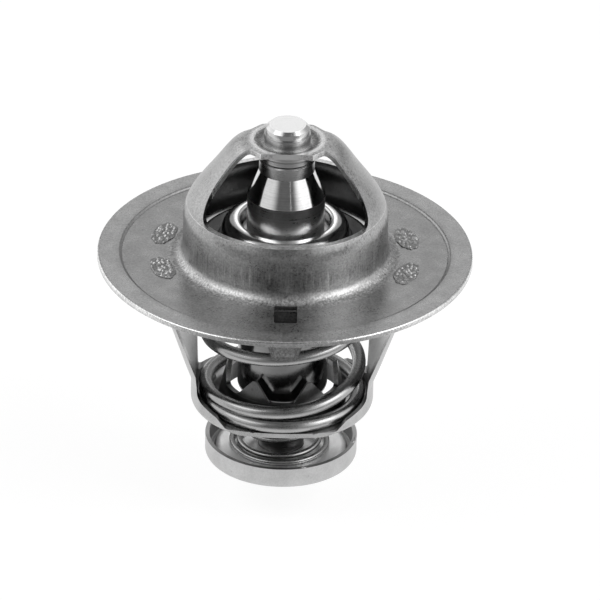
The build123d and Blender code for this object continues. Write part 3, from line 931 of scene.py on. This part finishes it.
@dataclass
class CoilSpring:
    """A wound spring of round wire, each ring weighted by how far it follows the moving body.

    The knots are (turn, height in mm, radius in mm), with the turns counted from the front.
    """

    name: str
    node: str
    fixed_body: str
    moving_body: str
    wire_mm: float
    knots: tuple[tuple[float, float, float], ...]
    fixed_z_mm: float
    moving_z_mm: float
    rings_per_turn: int = 72
    sides: int = 20
    small_turn: float = 1e-4

    def along(self, turn: float) -> tuple[float, float]:
        """Find the wire's height and radius at a turn.

        Args:
            turn: How many turns from the front.

        Returns:
            Height and radius in millimetres.
        """
        turns, heights, radii = zip(*self.knots)
        return monotone(turns, heights, turn), monotone(turns, radii, turn)

    def centre(self, turn: float) -> Vector:
        """Return the wire's centre at a turn, in metres, winding to the right."""
        height, radius = self.along(turn)
        angle = math.tau * turn - math.pi / 2
        return Vector((radius * math.cos(angle), radius * math.sin(angle), height)) * MM

    def share_at(self, turn: float) -> float:
        """Return how far the wire follows the moving body at a turn, from 0 to 1."""
        reach = self.moving_z_mm - self.fixed_z_mm
        return min(max((self.along(turn)[0] - self.fixed_z_mm) / reach, 0.0), 1.0)

    def frame_at(self, turn: float) -> Matrix:
        """Return the placement of the wire's section at a turn, with its Z along the wire."""
        centre = self.centre(turn)
        ahead = (self.centre(turn + self.small_turn) - self.centre(turn - self.small_turn)).normalized()
        outward = Vector((centre.x, centre.y, 0)).normalized()
        side = ahead.cross(outward).normalized()
        outward = side.cross(ahead)
        turned = Matrix((outward, side, ahead)).transposed().to_4x4()
        return Matrix.Translation(centre) @ turned

    def build(self) -> bpy.types.Object:
        """Wind the wire ring by ring, giving each ring a share of how far it follows the moving body.

        Returns:
            The finished spring.
        """
        first, last = self.knots[0][0], self.knots[-1][0]
        count = round((last - first) * self.rings_per_turn)
        turns = [first + (last - first) * i / count for i in range(count + 1)]
        half = self.wire_mm / 2 * MM
        bm = bmesh.new()
        uv = bm.loops.layers.uv.new("along_wire")
        share = bm.verts.layers.float.new("share")
        verts = bmesh.ops.create_circle(bm, segments=self.sides, radius=half, cap_ends=True)["verts"]
        before = self.frame_at(turns[0])
        bmesh.ops.transform(bm, matrix=before, verts=verts)
        for vert in verts:
            vert[share] = self.share_at(turns[0])
        edges = list(bm.edges)
        length = 0.0
        for turn in turns[1:]:
            now = self.frame_at(turn)
            grown = bmesh.ops.extrude_edge_only(bm, edges=edges)["geom"]
            verts = [g for g in grown if isinstance(g, bmesh.types.BMVert)]
            faces = [g for g in grown if isinstance(g, bmesh.types.BMFace)]
            new = set(verts)
            edges = [g for g in grown if isinstance(g, bmesh.types.BMEdge) and set(g.verts) <= new]
            bmesh.ops.transform(bm, matrix=now @ before.inverted(), verts=verts)
            step = (now.translation - before.translation).length
            weight = self.share_at(turn)
            for vert in verts:
                vert[share] = weight
            for loop in (corner for face in faces for corner in face.loops):
                local = now.inverted() @ loop.vert.co
                around = math.atan2(local.y, local.x) * half
                loop[uv].uv = (length + (step if loop.vert in new else 0.0), around)
            length += step
            before = now
        bmesh.ops.contextual_create(bm, geom=edges)
        made = smooth_object(self.name, bm)
        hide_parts(self.node)
        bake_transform(made)
        # Every vertex of a ring has the same share
        return made


def monotone(run: tuple[float, ...], rise: tuple[float, ...], at: float) -> float:
    """Read a smooth curve through knots that never overshoots them.

    Args:
        run: Where the knots lie, in rising order.
        rise: The knots' values.
        at: Where the curve is read.

    Returns:
        The curve's value there.
    """
    at = min(max(at, run[0]), run[-1])
    i = max(j for j in range(len(run) - 1) if run[j] <= at)
    steep = [(rise[j + 1] - rise[j]) / (run[j + 1] - run[j]) for j in range(len(run) - 1)]
    tangents = [steep[0]]
    for a, b in zip(steep, steep[1:]):
        tangents.append(0.0 if a * b <= 0 else 2 * a * b / (a + b))
    tangents.append(steep[-1])
    gap = run[i + 1] - run[i]
    t = (at - run[i]) / gap
    return (
        (1 + 2 * t) * (1 - t) ** 2 * rise[i]
        + t * (1 - t) ** 2 * gap * tangents[i]
        + t * t * (3 - 2 * t) * rise[i + 1]
        + t * t * (t - 1) * gap * tangents[i + 1]
    )


@dataclass(frozen=True)
class Lamp:
    """One soft rectangular lamp that faces the object, its azimuth counted to the camera's right."""

    name: str
    azimuth_deg: float
    elevation_deg: float
    size_m: tuple[float, float]
    watts: float
    distance_m: float = 0.5

    def hang(self) -> None:
        """Put the lamp in the scene."""
        turn, lift = math.radians(self.azimuth_deg), math.radians(self.elevation_deg)
        back = Vector((math.sin(turn) * math.cos(lift), -math.cos(turn) * math.cos(lift), math.sin(lift)))
        data = bpy.data.lights.new(self.name, "AREA")
        data.shape = "RECTANGLE"
        data.size, data.size_y = self.size_m
        data.energy = self.watts
        made = bpy.data.objects.new(self.name, data)
        made.location = back * self.distance_m
        made.rotation_mode = "QUATERNION"
        made.rotation_quaternion = back.to_track_quat("Z", "Y")
        bpy.context.scene.collection.objects.link(made)


@dataclass
class Studio:
    """White ground, plain soft lamps and the camera at the photograph's angle."""

    elevation_deg: float = 28.8
    roll_deg: float = 1.3
    distance_m: float = 1.5
    clip_m: tuple[float, float] = (0.01, 100.0)
    aim_right_mm: float = 2.31
    aim_up_mm: float = -6.9
    flange_top_mm: float = 0.8
    view_width_mm: float = 86.2
    sensor_mm: float = 36.0
    ground_drop_mm: float = 7.1
    ground_half_m: float = 3.0
    ground_glow: float = 0.84
    # The tent's light from front to back: start, end, level at the start, level at the end
    middle: tuple[float, ...] = (-0.4, 0.2, 0.14, 0.34)
    right: tuple[float, ...] = (0.0, 0.5, 1.42, 0.55)
    left: tuple[float, ...] = (0.0, 0.5, 0.9, 1.3)
    # The floor's own light in the same way, with the places in metres
    table: tuple[float, ...] = (-0.075, -0.03, 0.1, 1.0)
    dim_half_width: float = 0.34
    bright_from: float = 0.74
    slit_at: float = 0.24
    slit_half: float = 0.02
    lamps: tuple[Lamp, ...] = (
        Lamp("key", -60, 45, (0.4, 0.3), 0.5),
        Lamp("fill", 65, 35, (0.25, 0.35), 0.5),
        Lamp("rear", 180, 30, (0.12, 0.1), 0.042),
    )

    def camera(self) -> None:
        """Place the camera so that the object fills the frame as it does in the photograph."""
        lift = math.radians(self.elevation_deg)
        back = Vector((0, -math.cos(lift), math.sin(lift)))
        up = Vector((0, math.sin(lift), math.cos(lift)))
        right = Vector((1, 0, 0))
        aim = Vector((0, 0, self.flange_top_mm)) + right * self.aim_right_mm + up * self.aim_up_mm
        roll = Matrix.Rotation(math.radians(self.roll_deg), 3, back)
        data = bpy.data.cameras.new("camera")
        data.sensor_width = self.sensor_mm
        data.lens = self.sensor_mm * self.distance_m / (self.view_width_mm * MM)
        data.clip_start, data.clip_end = self.clip_m
        made = bpy.data.objects.new("camera", data)
        turned = Matrix((roll @ right, roll @ up, back)).transposed().to_4x4()
        made.matrix_world = Matrix.Translation(aim * MM + back * self.distance_m) @ turned
        bpy.context.scene.collection.objects.link(made)
        bpy.context.scene.camera = made

    def world(self) -> None:
        """Make the surroundings: white to the eye, and to the part a tent with bright sides."""
        made = bpy.data.worlds.new("studio")
        made.use_nodes = True
        tree = made.node_tree
        tree.nodes.clear()
        where = add_node(tree, "ShaderNodeTexCoord").outputs["Generated"]
        across, back, _ = add_node(tree, "ShaderNodeSeparateXYZ", {0: where}).outputs
        span = add_node(tree, "ShaderNodeMath", {0: across}, operation="ABSOLUTE").outputs[0]
        links = {"Value": span, 1: self.dim_half_width, 2: self.bright_from}
        side = add_node(tree, "ShaderNodeMapRange", links, interpolation_type="SMOOTHSTEP")
        middle, right, left = (
            add_node(tree, "ShaderNodeMapRange", {"Value": back} | dict(enumerate(levels, 1))).outputs[0]
            for levels in (self.middle, self.right, self.left)
        )
        which = add_node(tree, "ShaderNodeMath", {0: across, 1: 0.0}, operation="GREATER_THAN")
        wings = add_node(tree, "ShaderNodeMix", {0: which.outputs[0], 2: left, 3: right}, data_type="FLOAT")
        links = {0: side.outputs[0], 2: middle, 3: wings.outputs[0]}
        tent = add_node(tree, "ShaderNodeMix", links, data_type="FLOAT")
        off = add_node(tree, "ShaderNodeMath", {0: across, 1: -self.slit_at}, operation="ADD")
        near = add_node(tree, "ShaderNodeMath", {0: off.outputs[0]}, operation="ABSOLUTE")
        slit = add_node(tree, "ShaderNodeMapRange", {"Value": near.outputs[0], 1: self.slit_half, 2: 0.0})
        ahead = add_node(tree, "ShaderNodeMath", {0: back, 1: 0.0}, operation="LESS_THAN")
        line = overlap(tree, slit.outputs[0], ahead.outputs[0])
        level = add_node(tree, "ShaderNodeMath", {0: tent.outputs[0], 1: line}, operation="MAXIMUM")
        soft, white = (
            add_node(tree, "ShaderNodeBackground", {"Color": linear("#FFFFFF"), "Strength": strength})
            for strength in (level.outputs[0], 1.0)
        )
        seen = add_node(tree, "ShaderNodeLightPath").outputs["Is Camera Ray"]
        links = {0: seen, 1: soft.outputs[0], 2: white.outputs[0]}
        mixed = add_node(tree, "ShaderNodeMixShader", links)
        add_node(tree, "ShaderNodeOutputWorld", {"Surface": mixed.outputs[0]})
        bpy.context.scene.world = made

    def ground(self) -> None:
        """Lay the pale floor just below the disc's lowest place, where the valve is wide open."""
        bm = bmesh.new()
        bmesh.ops.create_grid(bm, x_segments=1, y_segments=1, size=self.ground_half_m)
        bmesh.ops.translate(bm, verts=bm.verts, vec=(0, 0, CAD_BOX[0].z - self.ground_drop_mm * MM))
        floor = smooth_object("floor", bm)
        made = bpy.data.materials.new("white_ground")
        made.use_nodes = True
        tree = made.node_tree
        tree.nodes.clear()
        path = add_node(tree, "ShaderNodeLightPath").outputs
        through = path["Is Camera Ray"]
        for ray in ("Is Glossy Ray", "Is Transmission Ray"):
            links = {0: through, 1: path[ray]}
            through = add_node(tree, "ShaderNodeMath", links, operation="MAXIMUM").outputs[0]
        plain, shadow = (
            add_node(tree, "ShaderNodeBsdfDiffuse", {"Color": linear(colour)})
            for colour in ("#F4F4F4", "#8A8A8A")
        )
        where = add_node(tree, "ShaderNodeTexCoord").outputs["Object"]
        _, back, _ = add_node(tree, "ShaderNodeSeparateXYZ", {0: where}).outputs
        sheet = add_node(tree, "ShaderNodeMapRange", {"Value": back} | dict(enumerate(self.table, 1)))
        links = {0: sheet.outputs[0], 1: path["Is Camera Ray"]}
        bright = add_node(tree, "ShaderNodeMath", links, operation="MAXIMUM")
        links = {0: bright.outputs[0], 1: self.ground_glow}
        level = add_node(tree, "ShaderNodeMath", links, operation="MULTIPLY")
        links = {"Color": linear("#FFFFFF"), "Strength": level.outputs[0]}
        glow = add_node(tree, "ShaderNodeEmission", links)
        white = add_node(tree, "ShaderNodeAddShader", {0: shadow.outputs[0], 1: glow.outputs[0]})
        mixed = add_node(tree, "ShaderNodeMixShader", {0: through, 1: plain.outputs[0], 2: white.outputs[0]})
        add_node(tree, "ShaderNodeOutputMaterial", {"Surface": mixed.outputs[0]})
        floor.data.materials.append(made)

    def build(self) -> None:
        """Set up the whole studio."""
        bpy.context.scene.view_settings.view_transform = "Standard"
        self.camera()
        self.world()
        self.ground()
        for lamp in self.lamps:
            lamp.hang()


def springs() -> tuple[CoilSpring, CoilSpring]:
    """Return the main spring and the bypass spring."""
    radius_mm = 11.05
    rises = (
        (-0.3, -21.825),
        (0.1, -21.825),
        (1.0, -19.55),
        (1.25, -17.1),
        (1.5, -14.5),
        (1.75, -12.2),
        (2.0, -10.8),
        (2.5, -7.7),
        (3.0, -2.9),
        (3.3, -1.2),
        (4.3, 0.925),
        (4.4, 0.925),
    )
    main_coil = CoilSpring(
        name="main_coil",
        node="main_spring",
        fixed_body="bridge",
        moving_body="capsule",
        wire_mm=1.95,
        knots=tuple((turn, height, radius_mm) for turn, height in rises),
        fixed_z_mm=-21.0,
        moving_z_mm=0.5,
    )
    bypass_coil = CoilSpring(
        name="bypass_coil",
        node="bypass_spring",
        fixed_body="capsule",
        moving_body="bypass",
        wire_mm=0.8,
        knots=(
            (-0.4, -30.2, 7.2),
            (0.0, -30.2, 6.9),
            (1.0, -29.75, 5.8),
            (2.0, -27.43, 4.97),
            (3.0, -25.12, 4.47),
            (4.0, -22.8, 4.3),
            (4.4, -22.8, 4.3),
        ),
        fixed_z_mm=-22.8,
        moving_z_mm=-30.2,
    )
    return main_coil, bypass_coil


def main() -> None:
    """Dress every piece, set up the studio and report what was made."""
    logging.basicConfig(level=logging.INFO, format="%(name)s: %(message)s")
    Studio().build()
    finishes = Finishes()
    dress = {
        "bridge_flange": finishes.bridge,
        "lower_frame": finishes.frame,
        "piston": finishes.piston,
        "piston_bush": finishes.bush,
        "capsule_guide": finishes.guide,
        "wax_cup": finishes.cup,
        "wax_charge": finishes.wax,
        "diaphragm": finishes.rubber,
        "rubber_plug": finishes.rubber,
        "anti_extrusion_washer": finishes.hard,
        "main_valve": finishes.valve,
        "bypass_stem": finishes.stem,
        "stem_clip": finishes.clip,
        "bypass_disc": finishes.disc,
    }
    for node, finish in dress.items():
        finishes.put(frame["nodes"][node], finish)
        LOG.info("dressed %s as %s", node, finish.name)
    WeldMarks().build(finishes)
    CutBurrs().build(finishes)
    for spring in springs():
        made = spring.build()
        finishes.put(made, finishes.wire)
        LOG.info("wound %s with %d vertices", spring.name, len(made.data.vertices))


if __name__ == "__main__":
    main()
